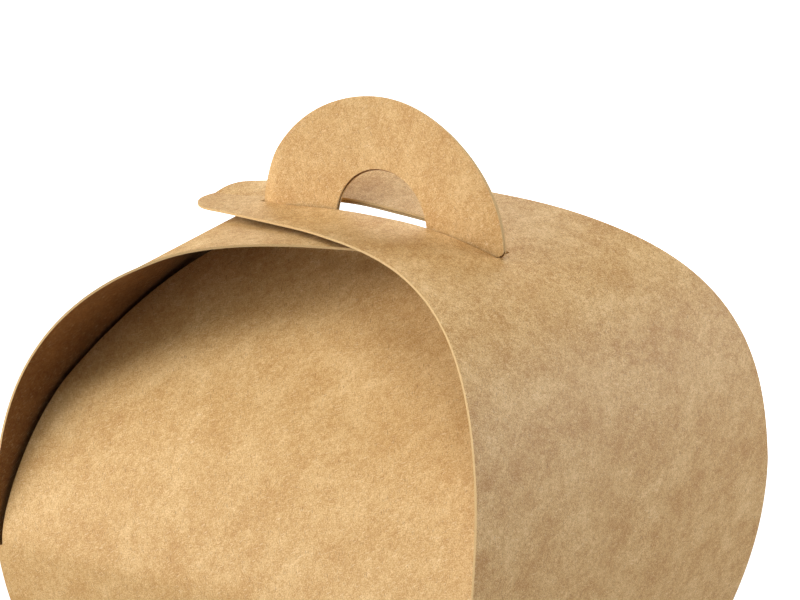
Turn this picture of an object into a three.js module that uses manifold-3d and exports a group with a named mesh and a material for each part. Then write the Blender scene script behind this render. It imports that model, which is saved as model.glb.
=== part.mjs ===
// A kraft paper carton for a small cake, closed, folded and glued from one sheet of board.
// A square base carries four panels that bulge outwards. The front and rear panels lean in
// and rise as the two halves of a carrying handle. The right and left panels arch over them
// in rounded tongues, and a slot in each tongue drops over the handle and locks the carton.
// Millimetres, +Z up, origin in the middle of the base's underside, the front is towards -Y.
import * as THREE from "three";
import { mergeVertices } from "three/addons/utils/BufferGeometryUtils.js";
import Module from "manifold-3d";

const wasm = await Module();
wasm.setup();

// Driving dimensions of the board and of the carton's body
const board = 0.5; // thickness of the kraft board
const rubbing = 0.3; // least space between layers that only lie against each other
const baseHalf = 45; // half the side of the square base
const waistHalf = 60; // half the carton's width where it bulges most
const waistHeight = 57;
const cornerHeight = 48; // the glued corners end here, and the edges above them are free

// Driving dimensions of the two arching side panels
const archRise = 58.8; // from the waist to the crown of the outer arch
const archPower = 2.7; // 2 would be an ellipse, and more is squarer
const archGap = 1.26; // clear space between the two arches at their crown
const tongueFall = 0.055; // how much the outer tongue drops for each millimetre it runs
const sheetLength = 146.4; // along the board from the waist to the tongue's tip
const tipRadius = 10.2;
const tipTaper = 13.3; // degrees between a tongue's edge and its middle line
const cornerPull = new THREE.Vector2(57.3, -6.9); // the free edge's direction where it starts
const tipPull = 97; // how far the tip's taper holds back along the edge

// Driving dimensions of the front and rear panels and of the handle that they make
const bulgeReach = 38.8; // the bulge ends here, measured outwards from the carton's middle
const bulgeEnd = 81.2; // and at this height
const bulgePull = 8.6; // softness of the bulge at both of its ends
const foldRadius = 8; // where a leaning panel turns upright
const handleGap = 0.6; // space between the two layers of the handle
const handleHalf = 31.7;
const handleRise = 29.4; // from the handle's foot to its top
const handleSink = 3.5; // the foot lies this far below the crown
const shoulderRadius = 2; // the foot's rounded corners, which overhang the neck in the slots
const holeRadius = 12; // the finger hole's round top
const holeLift = 2; // its centre above the handle's foot
const holeDepth = 3.8; // its flat foot below that centre
const slotWidth = 5;
const slotEase = 0.4; // space between an end of the slot and what passes through it

// Glue tabs inside the four lower corners
const tabWidth = 9;
const tabMargin = 2; // the tabs stop this far short of the base and of the corner's top

// Steps that the curves are drawn with
const wallSteps = 8;
const sheetStep = 3;
const bendSteps = 10;
const roundSteps = 9;
const cornerSteps = 4;

const crown = waistHeight + archRise;
const handleLine = crown - handleSink;
const handleFace = handleGap / 2 + board;
const neckHalf = handleHalf - shoulderRadius;
const kraft = new THREE.MeshStandardMaterial({ color: 0xc69a66, roughness: 0.9, metalness: 0 });

// A panel is bent about one axis only, so its section tells all but its width. The section lies
// in a plane whose x is the distance outwards from the carton's middle and whose y is the height.
class Section extends THREE.Curve {
  constructor(pointAt) {
    super();
    this.pointAt = pointAt;
    this.arcLengthDivisions = 600;
  }
  getPoint(t, target = new THREE.Vector2()) {
    return target.copy(this.pointAt(t));
  }
}

// Points of a section with the direction that faces out of the carton
const facing = (point, tangent) => ({ point, normal: new THREE.Vector2(tangent.y, -tangent.x) });
const inwards = (place, depth) => place.point.clone().addScaledVector(place.normal, -depth);

// The bulging wall below the waist, the same on all four sides
const bulge = waistHalf - baseHalf;
function wallPlace(height) {
  const below = 1 - height / waistHeight;
  const tangent = new THREE.Vector2((2 * bulge * below) / waistHeight, 1).normalize();
  return facing(new THREE.Vector2(waistHalf - bulge * below * below, height), tangent);
}

function wallPlaces(low, high, steps) {
  return Array.from({ length: steps + 1 }, (_, i) => wallPlace(low + ((high - low) * i) / steps));
}

// A point of an arch, counted from one waist (turn 0) over the crown to the other (turn PI).
// The far side may be narrower than the near one, where the arch runs inside its twin.
function archPoint(turn, nearHalf, farHalf, rise) {
  const across = Math.cos(turn);
  const half = across < 0 ? farHalf : nearHalf;
  return new THREE.Vector2(
    Math.sign(across) * half * Math.abs(across) ** (2 / archPower),
    waistHeight + rise * Math.abs(Math.sin(turn)) ** (2 / archPower),
  );
}

// The outer arch stops curving where its slope has come down to that of the straight tongue.
const slopeShare = ((tongueFall * waistHalf) / archRise) ** (1 / (archPower - 1));
const lastTurn = Math.PI / 2 + Math.atan(slopeShare ** (archPower / 2));
const outerCurve = new Section((t) => archPoint(t * lastTurn, waistHalf, waistHalf, archRise));
const tongueStart = outerCurve.getPoint(1);
const tongueWay = new THREE.Vector2(-1, -tongueFall).normalize();

// The inner arch runs inside the outer one all the way to its own tip.
const innerRise = archRise - board - archGap;
const innerFarHalf = waistHalf - board - rubbing;
const innerCurve = new Section((t) => archPoint(t * Math.PI, waistHalf, innerFarHalf, innerRise));

// A place on either arch at a length along the board from the waist
function outerPlace(length) {
  const curved = outerCurve.getLength();
  if (length >= curved) {
    return facing(tongueStart.clone().addScaledVector(tongueWay, length - curved), tongueWay);
  }
  const share = length / curved;
  return facing(outerCurve.getPointAt(share), outerCurve.getTangentAt(share));
}

function innerPlace(length) {
  const share = length / innerCurve.getLength();
  return facing(innerCurve.getPointAt(share), innerCurve.getTangentAt(share));
}

// Half the width of a side panel, laid flat, at a length along the board from the waist.
// The free edge is one long curve that ends tangent to the round tip.
const taper = THREE.MathUtils.degToRad(tipTaper);
const tipCentre = sheetLength - tipRadius;
const edgeEnd = new THREE.Vector2(
  tipCentre + tipRadius * Math.sin(taper),
  tipRadius * Math.cos(taper),
);
const edgeStart = new THREE.Vector2(0, waistHalf);
const freeEdge = new THREE.CubicBezierCurve(
  edgeStart,
  edgeStart.clone().add(cornerPull),
  edgeEnd.clone().add(new THREE.Vector2(-Math.cos(taper), Math.sin(taper)).multiplyScalar(tipPull)),
  edgeEnd,
);
const edgePoints = freeEdge.getPoints(200);

// Where a line of points crosses a value of x or y, the other coordinate there
function across(points, key, value) {
  const other = key === "x" ? "y" : "x";
  for (let i = 1; i < points.length; i += 1) {
    const a = points[i - 1];
    const b = points[i];
    if ((a[key] - value) * (b[key] - value) <= 0 && a[key] !== b[key]) {
      const share = (value - a[key]) / (b[key] - a[key]);
      return a[other] + share * (b[other] - a[other]);
    }
  }
  return points[points.length - 1][other];
}

// A row of a panel: its place, and how far the outer and the inner face reach along the bend
const row = (place, outerSpan, innerSpan, depth = board) => ({
  outer: place.point,
  inner: inwards(place, depth),
  outerSpan,
  innerSpan,
});
const evenRow = (place, half) => row(place, [-half, half], [-half, half]);

// At a glued corner both panels end on the plane that halves the corner.
function mitredRow(place) {
  const out = place.point.x;
  const within = inwards(place, board).x;
  return row(place, [-out, out], [-within, within]);
}

// A closed body from rows of four corners each, in the order that the board runs
function panelGeometry(rows) {
  const corners = [];
  for (const { outer, inner, outerSpan, innerSpan } of rows) {
    corners.push(outer.x, outerSpan[0], outer.y, outer.x, outerSpan[1], outer.y);
    corners.push(inner.x, innerSpan[0], inner.y, inner.x, innerSpan[1], inner.y);
  }
  const faces = [];
  const quad = (a, b, c, d) => faces.push(a, b, c, a, c, d);
  for (let i = 0; i < rows.length - 1; i += 1) {
    const [low, high] = [4 * i, 4 * i + 4];
    quad(low, low + 1, high + 1, high);
    quad(low + 3, low + 2, high + 2, high + 3);
    quad(low + 1, low + 3, high + 3, high + 1);
    quad(low + 2, low, high, high + 2);
  }
  const top = 4 * (rows.length - 1);
  quad(0, 2, 3, 1);
  quad(top, top + 1, top + 3, top + 2);
  const geometry = new THREE.BufferGeometry();
  geometry.setAttribute("position", new THREE.Float32BufferAttribute(corners, 3));
  geometry.setIndex(faces);
  return geometry;
}

// A side panel, from the base up its wall and over the arch to the tip of its tongue
function sidePanelRows(placeAt) {
  const rows = wallPlaces(0, cornerHeight, wallSteps).map(mitredRow);
  const freeWall = wallPlaces(cornerHeight, waistHeight, 2).slice(1);
  freeWall.forEach((place) => rows.push(evenRow(place, place.point.x)));
  const steps = Math.ceil(edgeEnd.x / sheetStep);
  for (let i = 1; i <= steps; i += 1) {
    const length = (edgeEnd.x * i) / steps;
    rows.push(evenRow(placeAt(length), across(edgePoints, "x", length)));
  }
  for (let i = 1; i <= roundSteps; i += 1) {
    const turn = taper + ((Math.PI / 2 - taper) * i) / (roundSteps + 0.5);
    const length = tipCentre + tipRadius * Math.sin(turn);
    rows.push(evenRow(placeAt(length), tipRadius * Math.cos(turn)));
  }
  return rows;
}

// The front panel's edges follow the inner arch from within, so its section is offset first.
const underArch = innerCurve
  .getPoints(200)
  .map((point, i, all) => {
    const before = all[Math.max(i - 1, 0)];
    const after = all[Math.min(i + 1, all.length - 1)];
    return inwards(facing(point, after.clone().sub(before).normalize()), board + rubbing);
  })
  .filter((point) => point.x < 0);

function leaningHalf(height) {
  if (height <= waistHeight) {
    return wallPlace(height).point.x - (waistHalf - innerFarHalf) - board - rubbing;
  }
  const archHalf = height < underArch[0].y ? -across(underArch, "y", height) : 0;
  return Math.max(archHalf, handleWidth(Math.max(height - handleLine, 0)));
}

// The handle stands on rounded shoulders, and below them only its neck passes the slots.
function handleWidth(rise) {
  const round = handleHalf * Math.sqrt(Math.max(1 - (rise / handleRise) ** 2, 0));
  const undercut = Math.max(shoulderRadius - rise, 0);
  return Math.min(round, neckHalf + Math.sqrt(shoulderRadius ** 2 - undercut ** 2));
}

// The front panel bulges, leans in on a straight slope that is tangent to its upper fold,
// and stands upright from the handle's foot.
function leaningPlaces() {
  const start = wallPlace(cornerHeight);
  const startWay = new THREE.Vector2(-start.normal.y, start.normal.x);
  const end = new THREE.Vector2(bulgeReach, bulgeEnd);
  const foldCentre = new THREE.Vector2(handleFace + foldRadius, handleLine);
  const away = foldCentre.clone().sub(end);
  const lean = Math.atan2(-away.x, away.y) + Math.asin(foldRadius / away.length());
  const endWay = new THREE.Vector2(-Math.sin(lean), Math.cos(lean));
  const bend = new THREE.CubicBezierCurve(
    start.point,
    start.point.clone().addScaledVector(startWay, bulgePull),
    end.clone().addScaledVector(endWay, -bulgePull),
    end,
  );
  const places = [];
  for (let i = 1; i <= bendSteps; i += 1) {
    places.push(facing(bend.getPoint(i / bendSteps), bend.getTangent(i / bendSteps)));
  }
  const foldStart = foldCentre
    .clone()
    .add(new THREE.Vector2(-Math.cos(lean), -Math.sin(lean)).multiplyScalar(foldRadius));
  const slopeSteps = Math.ceil(foldStart.distanceTo(end) / sheetStep);
  for (let i = 1; i < slopeSteps; i += 1) {
    places.push(facing(end.clone().lerp(foldStart, i / slopeSteps), endWay));
  }
  for (let i = 0; i <= bendSteps; i += 1) {
    const turn = lean * (1 - i / bendSteps);
    const out = new THREE.Vector2(-Math.cos(turn), -Math.sin(turn)).multiplyScalar(foldRadius);
    const way = new THREE.Vector2(-Math.sin(turn), Math.cos(turn));
    places.push(facing(foldCentre.clone().add(out), way));
  }
  return places;
}

function handlePlaces() {
  const upright = new THREE.Vector2(0, 1);
  const quarter = Math.PI / 2;
  const rises = [];
  for (let i = 1; i <= cornerSteps; i += 1) {
    rises.push(shoulderRadius * (1 - Math.cos((quarter * i) / cornerSteps)));
  }
  const firstTurn = Math.asin(shoulderRadius / handleRise);
  for (let i = 1; i <= 2 * roundSteps; i += 1) {
    const turn = firstTurn + ((quarter - firstTurn) * i) / (2 * roundSteps + 0.4);
    rises.push(handleRise * Math.sin(turn));
  }
  return rises.map((rise) => facing(new THREE.Vector2(handleFace, handleLine + rise), upright));
}

function endPanelRows() {
  const rows = wallPlaces(0, cornerHeight, wallSteps).map(mitredRow);
  for (const place of [...leaningPlaces(), ...handlePlaces()]) {
    const [out, within] = [leaningHalf(place.point.y), leaningHalf(inwards(place, board).y)];
    rows.push(row(place, [-out, out], [-within, within]));
  }
  return rows;
}

// A glue tab turned in from the front or rear panel's edge and stuck inside a side panel's wall.
// It starts half-way through both boards, so that the glued layers are one body.
function tabRows(side) {
  return wallPlaces(tabMargin, cornerHeight - tabMargin, wallSteps).map((place) => {
    const stuck = { point: inwards(place, board / 2), normal: place.normal };
    const corner = stuck.point.x;
    const span = side > 0 ? [corner - tabWidth, corner] : [-corner, tabWidth - corner];
    return row(stuck, span, span, board * 1.5);
  });
}

// Solids: a geometry turned about the carton's upright axis, ready to join or cut
function solid(geometry, quarterTurns = 0) {
  const plain = geometry.clone();
  plain.deleteAttribute("normal");
  plain.deleteAttribute("uv");
  plain.rotateZ((quarterTurns * Math.PI) / 2);
  const merged = mergeVertices(plain, 1e-4);
  return new wasm.Manifold(
    new wasm.Mesh({
      numProp: 3,
      vertProperties: merged.getAttribute("position").array,
      triVerts: new Uint32Array(merged.getIndex().array),
    }),
  );
}

// The slot that a side panel drops over the handle with. Its end on the panel's own side only
// clears the neck, and its end in the tongue clears the whole handle.
const ownEnd = neckHalf + slotEase;
const tongueEnd = handleHalf + slotEase;
const slotDepth = archRise / 2;
const slotBlock = new THREE.BoxGeometry(ownEnd + tongueEnd, slotWidth, slotDepth);
slotBlock.translate((ownEnd - tongueEnd) / 2, 0, crown);

// The finger hole through both layers of the handle
const holeCentre = handleLine + holeLift;
const holeShape = new THREE.Shape();
holeShape.moveTo(-holeRadius, holeCentre - holeDepth);
holeShape.lineTo(holeRadius, holeCentre - holeDepth);
holeShape.lineTo(holeRadius, holeCentre);
holeShape.absarc(0, holeCentre, holeRadius, 0, Math.PI, false);
const holeLength = 2 * (handleFace + foldRadius);
const holeBlock = new THREE.ExtrudeGeometry(holeShape, {
  depth: holeLength,
  bevelEnabled: false,
  curveSegments: 2 * roundSteps,
});
holeBlock.translate(0, 0, -holeLength / 2);
holeBlock.rotateX(Math.PI / 2);
const holeTool = solid(holeBlock);

const outerSide = panelGeometry(sidePanelRows(outerPlace));
const innerSide = panelGeometry(sidePanelRows(innerPlace));
const endPanel = panelGeometry(endPanelRows());
const baseSheet = new THREE.BoxGeometry(2 * baseHalf, 2 * baseHalf, board);
baseSheet.translate(0, 0, board / 2);

// Quarter turns from +X: the right panel lies outermost, and the left one under it
let carton = solid(baseSheet)
  .add(solid(outerSide, 0).subtract(solid(slotBlock, 0)))
  .add(solid(innerSide, 2).subtract(solid(slotBlock, 2)))
  .add(solid(endPanel, -1).subtract(holeTool))
  .add(solid(endPanel, 1).subtract(holeTool));
for (const quarter of [0, 2]) {
  for (const side of [-1, 1]) {
    carton = carton.add(solid(panelGeometry(tabRows(side)), quarter));
  }
}

const joined = carton.getMesh();
const geometry = new THREE.BufferGeometry();
geometry.setAttribute("position", new THREE.BufferAttribute(joined.vertProperties, 3));
geometry.setIndex(new THREE.BufferAttribute(joined.triVerts, 1));
geometry.computeVertexNormals();

const group = new THREE.Group();
const cartonMesh = new THREE.Mesh(geometry, kraft);
cartonMesh.name = "carton";
group.add(cartonMesh);

export default group;
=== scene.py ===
# A small cake carton folded from one sheet of kraft board, closed, with a half-round handle.
# The file follows the carton as it is put together: view, board, base, walls, tongues, handle.
import math

import bmesh
import bpy
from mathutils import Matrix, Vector


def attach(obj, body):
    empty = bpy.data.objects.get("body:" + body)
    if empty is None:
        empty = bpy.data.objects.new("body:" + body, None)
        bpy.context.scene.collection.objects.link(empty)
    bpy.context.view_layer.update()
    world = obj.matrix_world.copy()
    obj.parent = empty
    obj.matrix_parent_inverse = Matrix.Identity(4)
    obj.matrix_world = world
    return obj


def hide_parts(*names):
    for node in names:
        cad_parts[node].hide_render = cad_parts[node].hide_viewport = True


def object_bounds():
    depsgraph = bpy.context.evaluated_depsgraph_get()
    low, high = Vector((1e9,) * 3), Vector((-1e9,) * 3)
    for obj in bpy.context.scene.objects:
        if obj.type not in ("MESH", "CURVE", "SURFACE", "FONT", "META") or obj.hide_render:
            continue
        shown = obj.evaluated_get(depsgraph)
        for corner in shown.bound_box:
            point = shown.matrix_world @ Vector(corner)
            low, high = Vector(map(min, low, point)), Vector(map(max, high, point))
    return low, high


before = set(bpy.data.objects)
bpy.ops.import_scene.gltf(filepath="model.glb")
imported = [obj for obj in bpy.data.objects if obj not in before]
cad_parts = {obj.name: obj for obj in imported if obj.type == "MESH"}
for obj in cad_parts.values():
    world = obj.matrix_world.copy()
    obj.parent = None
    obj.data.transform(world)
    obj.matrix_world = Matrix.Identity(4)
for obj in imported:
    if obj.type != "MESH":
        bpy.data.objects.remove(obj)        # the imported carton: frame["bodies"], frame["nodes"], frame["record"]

cad_low, cad_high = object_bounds()


# Camera
# The photo looks down on the front right corner through a long lens, close in on the
# carton's upper part, so that the base lies below the picture's edge.
camera_aim = Vector((0.0020, 0.0014, 0.0975))
camera_azimuth = math.radians(34.03)
camera_elevation = math.radians(15.85)
camera_distance = 0.7352
camera_lens = 156.0

camera = bpy.data.objects.new("camera", bpy.data.cameras.new("camera"))
bpy.context.scene.collection.objects.link(camera)
bpy.context.scene.camera = camera
camera_back = Vector((
    math.sin(camera_azimuth) * math.cos(camera_elevation),
    -math.cos(camera_azimuth) * math.cos(camera_elevation),
    math.sin(camera_elevation),
))
camera.location = camera_aim + camera_back * camera_distance
camera.rotation_mode = "QUATERNION"
camera.rotation_quaternion = (-camera_back).to_track_quat("-Z", "Y")
camera.data.lens = camera_lens
camera.data.sensor_width = 36
camera.data.clip_start = 0.05
camera.data.clip_end = 20


# Kraft board
# Uncoated brown board of unbleached long fibres, pressed but not polished. It is almost matt,
# and its fibres mat into fine strokes with pale and reddish-brown mottling between them. The
# inner face is painted darker than the outer one: painted shade for the deep shade in the arch.
kraft_light = 0xE4C28C
kraft_middle = 0xC89F64
kraft_dark = 0xAD7C3E
# The inside tones are the board's tones darkened, as painted shade for the inside of the arch.
shaded_inside_light = 0xA87A48
shaded_inside_middle = 0x8D6236
shaded_inside_dark = 0x73481F
stray_fibre_light = 0xF0D9B0
stray_fibre_dark = 0x6E4722
cut_edge_light = 0xDDBE8A
cut_edge_dark = 0xB58F5C
board_roughness = 0.65
board_gloss = 0.4
edge_roughness = 0.9
edge_gloss = 0.3

# Sizes of the board and its pattern are in millimetres, as those of the panels below are. The
# camera, the floor and the lamps are in metres.
millimetre = 0.001
board_thickness = 0.5
cloud_width = 12.0
blotch_width = 3.5
clump_width = 1.2
grit_width = 0.25
patch_stretch = 1.3
fibre_width = 0.22
fibre_length = 0.9
fibre_turns = (0, 58, 118)
stray_width = 0.16
stray_length = 1.3
stray_light_turn = 35
stray_dark_turn = -50
tooth_depth = 0.05 * millimetre

# Noise above the first of these levels starts a stray fibre, and above the second fills it.
stray_start = 0.70
stray_full = 0.78


def linear(colour):
    """An sRGB hex value as the linear colour that a shader takes."""
    channels = [(colour >> shift & 255) / 255 for shift in (16, 8, 0)]
    return [c / 12.92 if c <= 0.04045 else ((c + 0.055) / 1.055) ** 2.4 for c in channels] + [1.0]


def add(tree, kind, inputs=None, **settings):
    """Adds a node with its settings, and gives its inputs values or links."""
    node = tree.nodes.new(kind)
    for name, value in settings.items():
        setattr(node, name, value)
    for name, value in (inputs or {}).items():
        if isinstance(value, bpy.types.NodeSocket):
            tree.links.new(value, node.inputs[name])
        else:
            node.inputs[name].default_value = value
    return node


def fresh_material(name):
    material = bpy.data.materials.new(name)
    material.use_nodes = True
    material.node_tree.nodes.clear()
    return material, material.node_tree


def mottling(tree, place, width, length, turn=0.0, detail=2.0, distortion=0.0):
    """Noise that is width across and length along the sheet's grain, turned in its plane."""
    mapped = add(tree, "ShaderNodeMapping", {
        "Vector": place,
        "Rotation": (0.0, 0.0, math.radians(turn)),
        "Scale": (length, width, width),
    }, vector_type="TEXTURE")
    return add(tree, "ShaderNodeTexNoise", {
        "Vector": mapped.outputs["Vector"],
        "Scale": 1.0,
        "Detail": detail,
        "Roughness": 0.55,
        "Distortion": distortion,
    }).outputs["Fac"]


def weighed(tree, *parts):
    """The sum of sockets, each with its weight."""
    total = None
    for socket, weight in parts:
        scaled = add(tree, "ShaderNodeMath", {0: socket, 1: weight}, operation="MULTIPLY")
        if total is None:
            total = scaled.outputs[0]
        else:
            total = add(tree, "ShaderNodeMath", {0: total, 1: scaled.outputs[0]}).outputs[0]
    return total


def tinted(tree, tone, low, high, *colours):
    """A run of colours, evenly spaced while the tone goes from low to high."""
    ramp = add(tree, "ShaderNodeValToRGB", {"Fac": tone})
    while len(ramp.color_ramp.elements) < len(colours):
        ramp.color_ramp.elements.new(0.5)
    for index, colour in enumerate(colours):
        stop = ramp.color_ramp.elements[index]
        stop.position = low + (high - low) * index / (len(colours) - 1)
        stop.color = linear(colour)
    return ramp.outputs["Color"]


def strayed(tree, base, place, turn, colour, opacity):
    """Scattered single fibres that lie on the surface and stand out from it."""
    strokes = mottling(tree, place, stray_width, stray_length, turn, 0.0, 0.5)
    shown = add(tree, "ShaderNodeMapRange", {
        "Value": strokes,
        "From Min": stray_start,
        "From Max": stray_full,
        "To Min": 0.0,
        "To Max": opacity,
    })
    mixed = add(tree, "ShaderNodeMix", {
        "Factor": shown.outputs["Result"],
        "A": base,
        "B": linear(colour),
    }, data_type="RGBA")
    return mixed.outputs["Result"]


def kraft_board(name, grain_turn, spread, light, middle, dark):
    """Board with its grain turned; a small spread of tones gives it more contrast."""
    material, tree = fresh_material(name)
    place = add(tree, "ShaderNodeAttribute", attribute_name="sheet_mm").outputs["Vector"]
    clouds = mottling(tree, place, cloud_width, cloud_width * patch_stretch, grain_turn)
    blotches = mottling(
        tree, place, blotch_width, blotch_width * patch_stretch, grain_turn, 2.0, 0.3
    )
    clumps = mottling(tree, place, clump_width, clump_width * patch_stretch, grain_turn, 2.0, 0.3)
    grit = mottling(tree, place, grit_width, grit_width, 0.0, 0.0)
    fibres = [
        mottling(tree, place, fibre_width, fibre_length, grain_turn + turn, 1.0, 0.6)
        for turn in fibre_turns
    ]
    matted = weighed(tree, *[(strokes, 1 / len(fibres)) for strokes in fibres])
    tone = weighed(
        tree, (clouds, 0.15), (blotches, 0.12), (clumps, 0.12), (grit, 0.19), (matted, 0.42)
    )
    colour = tinted(tree, tone, 0.5 - spread, 0.5 + spread, dark, middle, light)
    colour = strayed(tree, colour, place, grain_turn + stray_light_turn, stray_fibre_light, 0.5)
    colour = strayed(tree, colour, place, grain_turn + stray_dark_turn, stray_fibre_dark, 0.45)
    tooth = weighed(tree, (clumps, 0.3), (grit, 0.3), (matted, 0.4))
    surface = add(
        tree, "ShaderNodeBump", {"Height": tooth, "Distance": tooth_depth, "Strength": 1.0}
    )
    shader = add(tree, "ShaderNodeBsdfPrincipled", {
        "Base Color": colour,
        "Roughness": board_roughness,
        "Specular IOR Level": board_gloss,
        "Normal": surface.outputs["Normal"],
    })
    add(tree, "ShaderNodeOutputMaterial", {"Surface": shader.outputs["BSDF"]})
    return material


def cut_edge_material():
    """Die-cut edges show the board's paler, felted core."""
    material, tree = fresh_material("kraft board cut edge")
    place = add(tree, "ShaderNodeAttribute", attribute_name="sheet_mm").outputs["Vector"]
    felt = mottling(tree, place, grit_width, fibre_length, 0.0, 3.0)
    shader = add(tree, "ShaderNodeBsdfPrincipled", {
        "Base Color": tinted(tree, felt, 0.35, 0.60, cut_edge_dark, cut_edge_light),
        "Roughness": edge_roughness,
        "Specular IOR Level": edge_gloss,
    })
    add(tree, "ShaderNodeOutputMaterial", {"Surface": shader.outputs["BSDF"]})
    return material


side_grain = 80
end_grain = 20
outside_tones = (kraft_light, kraft_middle, kraft_dark)
shaded_inside_tones = (shaded_inside_light, shaded_inside_middle, shaded_inside_dark)
side_board = kraft_board("kraft board side panels", side_grain, 0.08, *outside_tones)
end_board = kraft_board("kraft board end panels", end_grain, 0.115, *outside_tones)
# The inner faces take the darker tones, which are painted shade and also bounce less light.
board_inside_painted_shade = kraft_board("kraft board inside with painted shade", side_grain, 0.1, *shaded_inside_tones)
cut_edge = cut_edge_material()


# Wall
# All four walls share one bulging section, from the crease round the base to the waist.
# Up to the corner height they are glued to each other, and above it their edges are free.
waist_half = cad_high.x / millimetre
base_half = 45.0
waist_height = 57.0
corner_height = 48.0
wall_steps = 48


def place_at(reach, height, way):
    """A point of a panel's section, with the direction that faces out of the carton."""
    way = Vector(way).normalized()
    return Vector((reach, height)), Vector((way.y, -way.x))


def wall_place(height):
    below = 1 - height / waist_height
    bulge = waist_half - base_half
    return place_at(
        waist_half - bulge * below ** 2, height, (2 * bulge * below / waist_height, 1)
    )


def row(place, span, inner_span=None, opening=None, open_above=False):
    """One bend line of a panel: its place, how far it reaches each way, and any cut-out."""
    return {
        "point": place[0],
        "normal": place[1],
        "span": span,
        "inner": inner_span or span,
        "opening": opening,
        "open_above": open_above,
    }


def mitred_row(place):
    """At a glued corner both panels end on the plane that halves the corner."""
    reach = place[0].x
    within = reach - board_thickness * place[1].x
    return row(place, (-reach, reach), (-within, within))


def wall_rows():
    heights = [corner_height * i / wall_steps for i in range(wall_steps + 1)]
    return [mitred_row(wall_place(height)) for height in heights]


def steps_between(low, high, count):
    return [low + (high - low) * i / count for i in range(count + 1)]


def smooth(value, low, high):
    share = min(max((value - low) / (high - low), 0.0), 1.0)
    return share * share * (3 - 2 * share)


# Board pieces
# Each panel of the sheet is built from rows across the board and given its thickness inwards.
# The rim round a panel and its cut-outs is the die-cut edge.
def turned(reach, lateral, height, quarter):
    """From a panel's own section to the carton, by quarter turns about its upright axis."""
    x, y = reach, lateral
    for _ in range(quarter):
        x, y = -y, x
    return Vector((x, y, height))


side_columns = 22
opening_columns = 8
weld_distance = 1e-6
to_right, to_rear, to_left, to_front = range(4)
outer_slot, edge_slot, inner_slot = 0, 1, 2

# Places on the pattern are shifted, so that the four walls and the board's two faces show
# different patches of it.
panel_pattern_shift = 200
inner_pattern_shift = 40.0


def laterals(span, opening):
    middle = (span[0] + span[1]) / 2
    low, high = opening or (middle, middle)
    return (
        steps_between(span[0], low, side_columns)
        + steps_between(low, high, opening_columns)[1:-1]
        + steps_between(high, span[1], side_columns)
    )


def board_piece(name, rows, quarter, face, warp=None):
    """A panel from its rows, turned to its side of the carton and settled by its warp."""
    sheet = bmesh.new()
    place_layer = sheet.verts.layers.float_vector.new("sheet_mm")
    along = 0.0
    grid = {"outer": [], "inner": []}
    for index, line in enumerate(rows):
        if index:
            along += (line["point"] - rows[index - 1]["point"]).length
        inner_point = line["point"] - line["normal"] * board_thickness
        for side, point, span in (
            ("outer", line["point"], line["span"]),
            ("inner", inner_point, line["inner"]),
        ):
            opening = line["opening"]
            made = []
            for lateral in laterals(span, opening):
                spot = turned(point.x, lateral, point.y, quarter)
                if warp:
                    spot = warp(spot)
                vert = sheet.verts.new(spot * millimetre)
                depth = 0.0 if side == "outer" else inner_pattern_shift
                vert[place_layer] = Vector((along, lateral + panel_pattern_shift * quarter, depth))
                made.append(vert)
            grid[side].append(made)
    first_open = side_columns
    last_open = side_columns + opening_columns
    columns = len(grid["outer"][0])

    def solid(i, j):
        inside = 0 <= i < len(rows) - 1 and 0 <= j < columns - 1
        return inside and not (rows[i]["open_above"] and first_open <= j < last_open)

    def quad(a, b, c, d, slot):
        corners = [a, b, c, d]
        if len({tuple(v.co) for v in corners}) < 3:
            return
        face_made = sheet.faces.new(corners)
        face_made.material_index = slot
        face_made.smooth = slot != edge_slot

    outer, inner = grid["outer"], grid["inner"]
    for i in range(len(rows) - 1):
        for j in range(columns - 1):
            if not solid(i, j):
                continue
            top, right = i + 1, j + 1
            quad(outer[i][j], outer[i][right], outer[top][right], outer[top][j], outer_slot)
            quad(inner[i][right], inner[i][j], inner[top][j], inner[top][right], inner_slot)
            if not solid(i - 1, j):
                quad(inner[i][j], inner[i][right], outer[i][right], outer[i][j], edge_slot)
            if not solid(top, j):
                quad(outer[top][j], outer[top][right], inner[top][right], inner[top][j], edge_slot)
            if not solid(i, j - 1):
                quad(inner[i][j], outer[i][j], outer[top][j], inner[top][j], edge_slot)
            if not solid(i, right):
                quad(
                    outer[i][right], inner[i][right], inner[top][right], outer[top][right], edge_slot
                )
    bmesh.ops.remove_doubles(sheet, verts=sheet.verts, dist=weld_distance)
    bmesh.ops.delete(sheet, geom=[v for v in sheet.verts if not v.link_faces], context="VERTS")
    for edge in sheet.edges:
        slots = {linked.material_index for linked in edge.link_faces}
        edge.smooth = len(slots) == 1
    mesh = bpy.data.meshes.new(name)
    sheet.to_mesh(mesh)
    sheet.free()
    for material in (face, cut_edge, board_inside_painted_shade):
        mesh.materials.append(material)
    piece = bpy.data.objects.new(name, mesh)
    bpy.context.scene.collection.objects.link(piece)
    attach(piece, "root")
    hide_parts("carton")


# Base
# The square bottom of the sheet, of the same kraft board. The four walls are creased to its
# edges, and the carton stands on it.
base_steps = 30
base_rows = [
    row(place_at(reach, 0.0, (1, 0)), (-base_half, base_half))
    for reach in steps_between(-base_half, base_half, base_steps)
]
board_piece("base_panel", base_rows, to_right, side_board)


# Side panels
# The left and right panels rise from their walls, arch over the front and rear panels, and
# end in rounded tongues. The right tongue lies on top. Each has a slot that drops over the handle.
arch_rise = 58.8
arch_power = 2.7
arch_gap = 1.26
rubbing = 0.3
tongue_fall = 0.055
sheet_length = 146.4
tip_radius = 10.2
tip_taper = math.radians(13.3)
corner_pull = Vector((57.3, -6.9))
tip_pull = 97.0
handle_half = 31.7
shoulder_radius = 2.0
neck_half = handle_half - shoulder_radius
slot_ease = 0.4
slot_half = 2.5
crown = waist_height + arch_rise
sheet_step = 1.0
waist_steps = 9
outer_steps = 600
inner_steps = 800
straight_steps = 60
straight_length = 60
edge_steps = 400
tip_steps = 40


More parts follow.
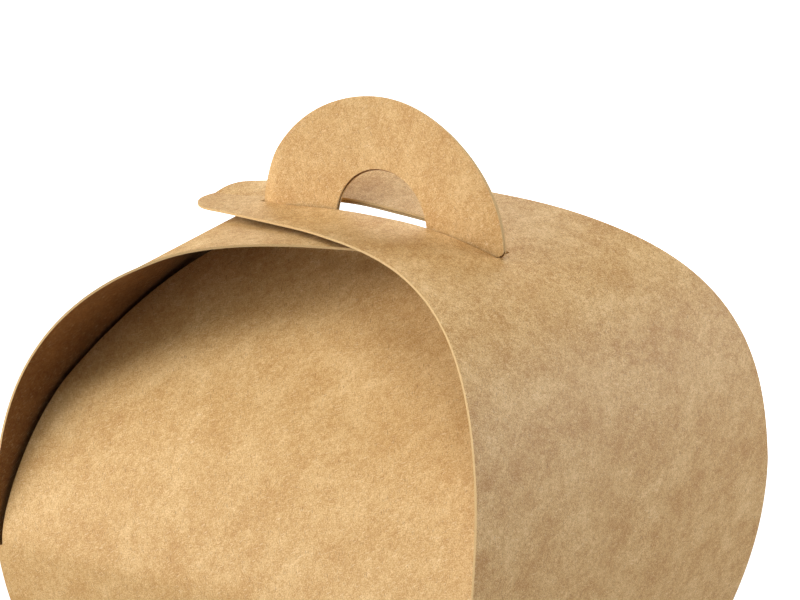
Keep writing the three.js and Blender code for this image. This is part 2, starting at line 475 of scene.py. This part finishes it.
def arch_point(turn, near_half, far_half, rise):
    across = math.cos(turn)
    half = far_half if across < 0 else near_half
    return Vector((
        math.copysign(half * abs(across) ** (2 / arch_power), across),
        waist_height + rise * abs(math.sin(turn)) ** (2 / arch_power),
    ))


def measured(points):
    """The points with their distance along the line that they make."""
    lengths = [0.0]
    for before, after in zip(points, points[1:]):
        lengths.append(lengths[-1] + (after - before).length)
    return points, lengths


def place_along(line, length):
    """A place on a measured line, its direction taken from the line on both sides."""
    points, lengths = line
    index = 1
    while index < len(lengths) - 1 and lengths[index] < length:
        index += 1
    share = (length - lengths[index - 1]) / (lengths[index] - lengths[index - 1])
    point = points[index - 1].lerp(points[index], share)
    before = points[max(index - 2, 0)]
    after = points[min(index + 1, len(points) - 1)]
    return place_at(point.x, point.y, after - before)


slope_share = (tongue_fall * waist_half / arch_rise) ** (1 / (arch_power - 1))
last_turn = math.pi / 2 + math.atan(slope_share ** (arch_power / 2))
outer_points = [
    arch_point(turn, waist_half, waist_half, arch_rise)
    for turn in steps_between(0.0, last_turn, outer_steps)
]
arch_end = outer_points[-1]
tongue_end = arch_end + Vector((-1, -tongue_fall)).normalized() * straight_length
outer_line = measured(outer_points + [
    arch_end.lerp(tongue_end, i / straight_steps) for i in range(1, straight_steps + 1)
])

inner_rise = arch_rise - board_thickness - arch_gap
inner_far_half = waist_half - board_thickness - rubbing
inner_line = measured([
    arch_point(turn, waist_half, inner_far_half, inner_rise)
    for turn in steps_between(0.0, math.pi, inner_steps)
])

tip_centre = sheet_length - tip_radius
edge_end = Vector((
    tip_centre + tip_radius * math.sin(tip_taper),
    tip_radius * math.cos(tip_taper),
))
edge_controls = (
    Vector((0.0, waist_half)),
    Vector((0.0, waist_half)) + corner_pull,
    edge_end + Vector((-math.cos(tip_taper), math.sin(tip_taper))) * tip_pull,
    edge_end,
)


def bezier(controls, share):
    a, b, c, d = controls
    rest = 1 - share
    return a * rest ** 3 + b * 3 * rest ** 2 * share + c * 3 * rest * share ** 2 + d * share ** 3


edge_points = [bezier(edge_controls, i / edge_steps) for i in range(edge_steps + 1)]


def between(points, axis, value):
    """Where a line of points crosses a value on one axis, its value on the other."""
    for before, after in zip(points, points[1:]):
        a, b = before[axis], after[axis]
        if (a - value) * (b - value) <= 0 and a != b:
            return before[1 - axis] + (value - a) / (b - a) * (after[1 - axis] - before[1 - axis])
    return points[-1][1 - axis]


def length_at_reach(line, reach):
    points, lengths = line
    for index in range(1, len(points)):
        if points[index].x <= reach:
            return lengths[index]
    return lengths[-1]


def side_panel_rows(line):
    rows = wall_rows()
    for height in steps_between(corner_height, waist_height, waist_steps)[1:]:
        place = wall_place(height)
        rows.append(row(place, (-place[0].x, place[0].x)))
    slot_start = length_at_reach(line, neck_half + slot_ease)
    slot_end = length_at_reach(line, -handle_half - slot_ease)
    lengths = [i * sheet_step for i in range(1, int(edge_end.x / sheet_step))]
    lengths += [slot_start, slot_end, edge_end.x]
    for length in sorted(lengths):
        half = between(edge_points, 0, length)
        open_above = slot_start <= length < slot_end
        rows.append(row(
            place_along(line, length), (-half, half), None, (-slot_half, slot_half), open_above
        ))
    for i in range(1, tip_steps + 1):
        turn = tip_taper + (math.pi / 2 - tip_taper) * i / (tip_steps + 0.5)
        half = tip_radius * math.cos(turn)
        opening = min(slot_half, half / 3)
        rows.append(row(
            place_along(line, tip_centre + tip_radius * math.sin(turn)),
            (-half, half), None, (-opening, opening),
        ))
    return rows


# The closed top isn't quite even. The rear panel pushes both bands behind the handle up, most
# near the tongue, and the handle has pulled the right end of the slots to the front. A stretch
# is the two places between which a shift sets in, along the carton or across it.
band_lift = 4.2
band_lift_place = -15
band_lift_width = 16
tongue_lift = 1.4
tongue_lift_stretch = (6, 38)
tip_lift = 0.4
tip_lift_place = -47
tip_lift_width = 4
rear_edge_half = 21.5
rear_edge_slope = 0.32
behind_limit = 1.2
front_share = 0.12
front_stretch = (-12, -slot_half)
across_slot = (-slot_half, slot_half)
beside_slot_share = 0.25
beside_slot_stretch = (-30, -22)
rear_share = 0.88


def hump(value, centre, width):
    return math.exp(-((value - centre) / width) ** 2)


def outer_lift(spot):
    across = band_lift * hump(spot.x, band_lift_place, band_lift_width)
    across += tongue_lift * (1 - smooth(spot.x, *tongue_lift_stretch))
    across += tip_lift * hump(spot.x, tip_lift_place, tip_lift_width)
    edge = rear_edge_half + rear_edge_slope * spot.x
    behind = min(max((spot.y - slot_half) / (edge - slot_half), 0.0), behind_limit)
    beside_slot = beside_slot_share * smooth(spot.x, *beside_slot_stretch)
    share = front_share * smooth(spot.y, *front_stretch)
    share += beside_slot * smooth(spot.y, *across_slot)
    share += (rear_share - beside_slot) * behind
    return across * share


# The left panel follows the right one's lift, stands up behind the handle and fills out the
# space under the tongue, less at its rear.
near_slot_lift = 1.0
near_slot_stretch = (-1, 4)
slot_end_stretch = (20, 32)
under_tongue_lift = 4.2
under_tongue_place = -37
under_tongue_width = 11
under_tongue_half = 38
rear_loss = 0.5
follow_stretch = (24, 36)


def inner_lift(spot):
    near_slot = near_slot_lift * smooth(spot.y, *near_slot_stretch)
    near_slot *= 1 - smooth(abs(spot.x), *slot_end_stretch)
    from_front = min(max((spot.y + under_tongue_half) / under_tongue_half, 0.0), 1.0)
    under_tongue = under_tongue_lift * hump(spot.x, under_tongue_place, under_tongue_width)
    under_tongue *= from_front
    under_tongue *= 1 - rear_loss * smooth(spot.y, 0, under_tongue_half)
    followed = outer_lift(spot) * (1 - smooth(-spot.x, *follow_stretch))
    return followed + near_slot + under_tongue


# The handle has pulled the slots' right end forward, and at their left end the board lies back
# against it. Behind the handle the left panel's band is pushed back as well.
pull_forward = 2.1
pull_stretch = (2, 26)
push_back = 1.6
push_stretch = (22, 30)
push_fade = (32, 40)
beside_slot_fade = (slot_half, 14)
rear_band_push = 1.1


def slot_pull(spot):
    forward = pull_forward * smooth(spot.x, *pull_stretch)
    back = push_back * smooth(-spot.x, *push_stretch) * (1 - smooth(-spot.x, *push_fade))
    return (back - forward) * (1 - smooth(abs(spot.y), *beside_slot_fade))


def slot_push(spot):
    rear_band = rear_band_push * smooth(spot.y, 0, slot_half)
    rear_band *= 1 - smooth(spot.y, *beside_slot_fade)
    return slot_pull(spot) + rear_band * (1 - smooth(abs(spot.x), *slot_end_stretch))


def settled(lift, slide):
    """A warp for a side panel, which leaves its wall as it is."""
    def warp(spot):
        if spot.z < corner_height:
            return spot
        return spot + Vector((0, slide(spot), lift(spot)))
    return warp


board_piece(
    "right_panel", side_panel_rows(outer_line), to_right, side_board,
    settled(outer_lift, slot_pull),
)
board_piece(
    "left_panel", side_panel_rows(inner_line), to_left, side_board,
    settled(inner_lift, slot_push),
)


# Front and rear panels
# Above the glued corners they bulge and lean in under the arch, then stand upright as the two
# layers of the handle, which pass up through both slots. A finger hole is cut through them.
bulge_reach = 38.8
bulge_end = 81.2
bulge_pull = 8.6
fold_radius = 8.0
handle_gap = 0.6
handle_sink = 3.5
handle_line = crown - handle_sink
handle_rise = 29.4
handle_face = handle_gap / 2 + board_thickness
hole_radius = 12.0
hole_lift = 2.0
hole_depth = 3.8
hole_centre = handle_line + hole_lift
hole_foot = hole_centre - hole_depth
bulge_steps = 40
lean_steps = 30
fold_steps = 12
foot_steps = 6
hole_steps = 36
round_steps = 60
shoulder_steps = 12
least_row_gap = 0.005
height_slack = 0.01

under_arch = []
for index in range(inner_steps // 2 + 1, inner_steps):
    point, normal = place_along(inner_line, inner_line[1][index])
    under_arch.append(point - normal * (board_thickness + rubbing))


def leaning_half(height):
    if height <= waist_height:
        return wall_place(height)[0].x - (waist_half - inner_far_half) - board_thickness - rubbing
    arch_half = -between(under_arch, 1, height) if height < under_arch[0].y else 0.0
    return max(arch_half, handle_width(max(height - handle_line, 0.0)))


def handle_width(rise):
    """Half the handle's width above its foot, where rounded shoulders overhang its neck."""
    round_half = handle_half * math.sqrt(max(1 - (rise / handle_rise) ** 2, 0.0))
    undercut = max(shoulder_radius - rise, 0.0)
    return min(round_half, neck_half + math.sqrt(shoulder_radius ** 2 - undercut ** 2))


def leaning_places():
    start, normal = wall_place(corner_height)
    end = Vector((bulge_reach, bulge_end))
    fold_centre = Vector((handle_face + fold_radius, handle_line))
    away = fold_centre - end
    lean = math.atan2(-away.x, away.y) + math.asin(fold_radius / away.length)
    end_way = Vector((-math.sin(lean), math.cos(lean)))
    controls = (
        start,
        start + Vector((-normal.y, normal.x)) * bulge_pull,
        end - end_way * bulge_pull,
        end,
    )
    places = []
    for i in range(1, bulge_steps + 1):
        before = bezier(controls, (i - 0.5) / bulge_steps)
        after = bezier(controls, (i + 0.5) / bulge_steps)
        point = bezier(controls, i / bulge_steps)
        places.append(place_at(point.x, point.y, after - before))
    fold_start = fold_centre + Vector((-math.cos(lean), -math.sin(lean))) * fold_radius
    for i in range(1, lean_steps):
        point = end.lerp(fold_start, i / lean_steps)
        places.append(place_at(point.x, point.y, end_way))
    foot_turn = math.asin((handle_line - hole_foot) / fold_radius)
    turns = steps_between(lean, foot_turn, fold_steps)
    turns += steps_between(foot_turn, 0.0, foot_steps)[1:]
    for turn in turns:
        point = fold_centre + Vector((-math.cos(turn), -math.sin(turn))) * fold_radius
        places.append(place_at(point.x, point.y, (-math.sin(turn), math.cos(turn))))
    return places


def handle_places():
    quarter = math.pi / 2
    heights = [
        hole_centre + hole_radius * math.sin(quarter * i / hole_steps)
        for i in range(hole_steps + 1)
    ]
    heights += [
        handle_line + handle_rise * math.sin(quarter * i / (round_steps + 0.3))
        for i in range(1, round_steps + 1)
    ]
    heights += [
        handle_line + shoulder_radius * (1 - math.cos(quarter * i / shoulder_steps))
        for i in range(1, shoulder_steps + 1)
    ]
    kept = []
    for height in sorted(heights):
        if not kept or height - kept[-1] > least_row_gap:
            kept.append(height)
    return [place_at(handle_face, height, (0, 1)) for height in kept]


def hole_half(height):
    if height <= hole_centre:
        return hole_radius
    return math.sqrt(max(hole_radius ** 2 - (height - hole_centre) ** 2, 0.0))


def end_panel_rows():
    rows = wall_rows()
    for place in leaning_places() + handle_places():
        height = place[0].y
        out, within = leaning_half(height), leaning_half(height - board_thickness * place[1].y)
        opening = hole_half(height)
        is_open = hole_foot <= height + height_slack < hole_centre + hole_radius
        rows.append(row(place, (-out, out), (-within, within), (-opening, opening), is_open))
    return rows


# The two layers of the handle lean against the slots' front edges, and bow at their right end.
# The rear layer has slipped a little way down behind the front one.
settling_height = 98
handle_shift = -0.3
handle_lean = -0.95
right_bow = -2.45
right_bow_stretch = (-4, 26)
left_return = 1.2
left_return_stretch = (27, 32)
rear_slip = Vector((-0.1, -0.3, -0.45))


def bowed(spot):
    lean = handle_lean + right_bow * smooth(spot.x, *right_bow_stretch)
    lean += left_return * smooth(-spot.x, *left_return_stretch)
    return spot + Vector((handle_shift, lean, 0)) * smooth(spot.z, settling_height, handle_line)


def slipped(spot):
    return bowed(spot) + rear_slip * smooth(spot.z, settling_height, handle_line)


board_piece("front_panel", end_panel_rows(), to_front, end_board, bowed)
board_piece("rear_panel", end_panel_rows(), to_rear, end_board, slipped)


# Glue tabs
# Narrow strips of the same board, creased at the sides of the front and rear walls, turned in
# and glued inside the side walls. They hold the four lower corners.
tab_width = 9.0
tab_margin = 2.0
tab_steps = 24
glue_line = 0.02


def tab_rows(side):
    rows = []
    for height in steps_between(tab_margin, corner_height - tab_margin, tab_steps):
        point, normal = wall_place(height)
        stuck = point - normal * (board_thickness + glue_line)
        corner = stuck.x - board_thickness
        span = (corner - tab_width, corner) if side > 0 else (-corner, tab_width - corner)
        rows.append(row((stuck, normal), span))
    return rows


for quarter, wall_name in ((to_right, "right"), (to_left, "left")):
    for side, end_name in ((-1, "first"), (1, "second")):
        board_piece(f"{end_name}_glue_tab_{wall_name}", tab_rows(side), quarter, end_board)


# Floor and background
# A plain white sweep of paper. It keeps the carton's shadow, and away from the carton it is
# seen as pure white, because its own glow for the eye grows with distance.
floor_half = 6.0
floor_drop = 0.2 * millimetre
shadow_reach = 0.14
white_reach = 0.34
glow_at_carton = 0.45
paper_white = 0xDEDEDE
pure_white = 0xFFFFFF

# The board is lit by a dimmer paper than the eye sees, which keeps the arch dark inside.
paper_bounce = 0xA0A0A0
floor_mesh = bpy.data.meshes.new("floor")
floor_mesh.from_pydata(
    [(-floor_half, -floor_half, 0), (floor_half, -floor_half, 0),
     (floor_half, floor_half, 0), (-floor_half, floor_half, 0)],
    [],
    [(0, 1, 2, 3)],
)
floor = bpy.data.objects.new("floor", floor_mesh)
floor.location.z = -floor_drop
bpy.context.scene.collection.objects.link(floor)


def seen_or_reflected(tree):
    """One for a ray that shows the background to the eye, straight or in a gloss."""
    paths = add(tree, "ShaderNodeLightPath")
    total = paths.outputs["Is Camera Ray"]
    for ray in ("Is Glossy Ray", "Is Transmission Ray"):
        total = add(
            tree, "ShaderNodeMath", {0: total, 1: paths.outputs[ray]}, operation="MAXIMUM"
        ).outputs[0]
    return total


floor_material, floor_tree = fresh_material("white paper floor")
floor_spot = add(floor_tree, "ShaderNodeNewGeometry").outputs["Position"]
floor_distance = add(
    floor_tree, "ShaderNodeVectorMath", {0: floor_spot}, operation="LENGTH"
).outputs["Value"]
floor_glow = add(floor_tree, "ShaderNodeMapRange", {
    "Value": floor_distance,
    "From Min": shadow_reach,
    "From Max": white_reach,
    "To Min": glow_at_carton,
    "To Max": 1.0,
}, interpolation_type="SMOOTHSTEP").outputs["Result"]
floor_paper = add(floor_tree, "ShaderNodeBsdfDiffuse", {"Color": linear(paper_white)})
floor_white = add(floor_tree, "ShaderNodeEmission", {
    "Color": linear(pure_white),
    "Strength": floor_glow,
})
floor_sum = add(floor_tree, "ShaderNodeAddShader", {
    0: floor_paper.outputs["BSDF"],
    1: floor_white.outputs["Emission"],
})
floor_dim = add(floor_tree, "ShaderNodeBsdfDiffuse", {"Color": linear(paper_bounce)})
floor_seen = add(floor_tree, "ShaderNodeMixShader", {
    0: seen_or_reflected(floor_tree),
    1: floor_dim.outputs["BSDF"],
    2: floor_sum.outputs["Shader"],
})
add(floor_tree, "ShaderNodeOutputMaterial", {"Surface": floor_seen.outputs["Shader"]})
floor_mesh.materials.append(floor_material)


# Light
# Soft lamps at the front left shape the front panel and leave the arch dark inside. One behind
# on the right lights the right panel, and two above and behind light the top and the tongues.
carton_middle = Vector((0.0, 0.0, 0.08))


def soft_lamp(name, azimuth, elevation, distance, size, power):
    """A square lamp aimed at the carton, in degrees, metres and watts.

    The azimuth is counted from the front to the right.
    """
    turn, rise = math.radians(azimuth), math.radians(elevation)
    way = Vector((
        math.sin(turn) * math.cos(rise), -math.cos(turn) * math.cos(rise), math.sin(rise)
    ))
    lamp_data = bpy.data.lights.new(name, "AREA")
    lamp_data.shape = "SQUARE"
    lamp_data.size = size
    lamp_data.energy = power
    lamp = bpy.data.objects.new(name, lamp_data)
    lamp.location = carton_middle + way * distance
    lamp.rotation_mode = "QUATERNION"
    lamp.rotation_quaternion = (-way).to_track_quat("-Z", "Y")
    bpy.context.scene.collection.objects.link(lamp)


soft_lamp("left front lamp", -60, 3, 1.2, 0.5, 9.0)
soft_lamp("upper front lamp", -36, 36, 1.2, 0.6, 5.6)
soft_lamp("low front lamp", -20, 8, 0.6, 0.5, 1.7)
soft_lamp("right lamp", 138, 14, 1.2, 0.7, 11.8)
soft_lamp("back lamp", -150, 40, 1.2, 0.6, 6.0)
soft_lamp("top lamp", 0, 78, 1.2, 0.7, 6.2)

# The room adds almost no light of its own, and the eye sees it white.
world = bpy.data.worlds.new("studio")
bpy.context.scene.world = world
world.use_nodes = True
world_tree = world.node_tree
world_tree.nodes.clear()
room_strength = 0.02
world_room = add(world_tree, "ShaderNodeBackground", {
    "Color": linear(pure_white),
    "Strength": room_strength,
})
world_white = add(world_tree, "ShaderNodeBackground", {
    "Color": linear(pure_white),
    "Strength": 1.0,
})
world_mix = add(world_tree, "ShaderNodeMixShader", {
    0: add(world_tree, "ShaderNodeLightPath").outputs["Is Camera Ray"],
    1: world_room.outputs["Background"],
    2: world_white.outputs["Background"],
})
add(world_tree, "ShaderNodeOutputWorld", {"Surface": world_mix.outputs["Shader"]})

bpy.context.scene.view_settings.view_transform = "Standard"
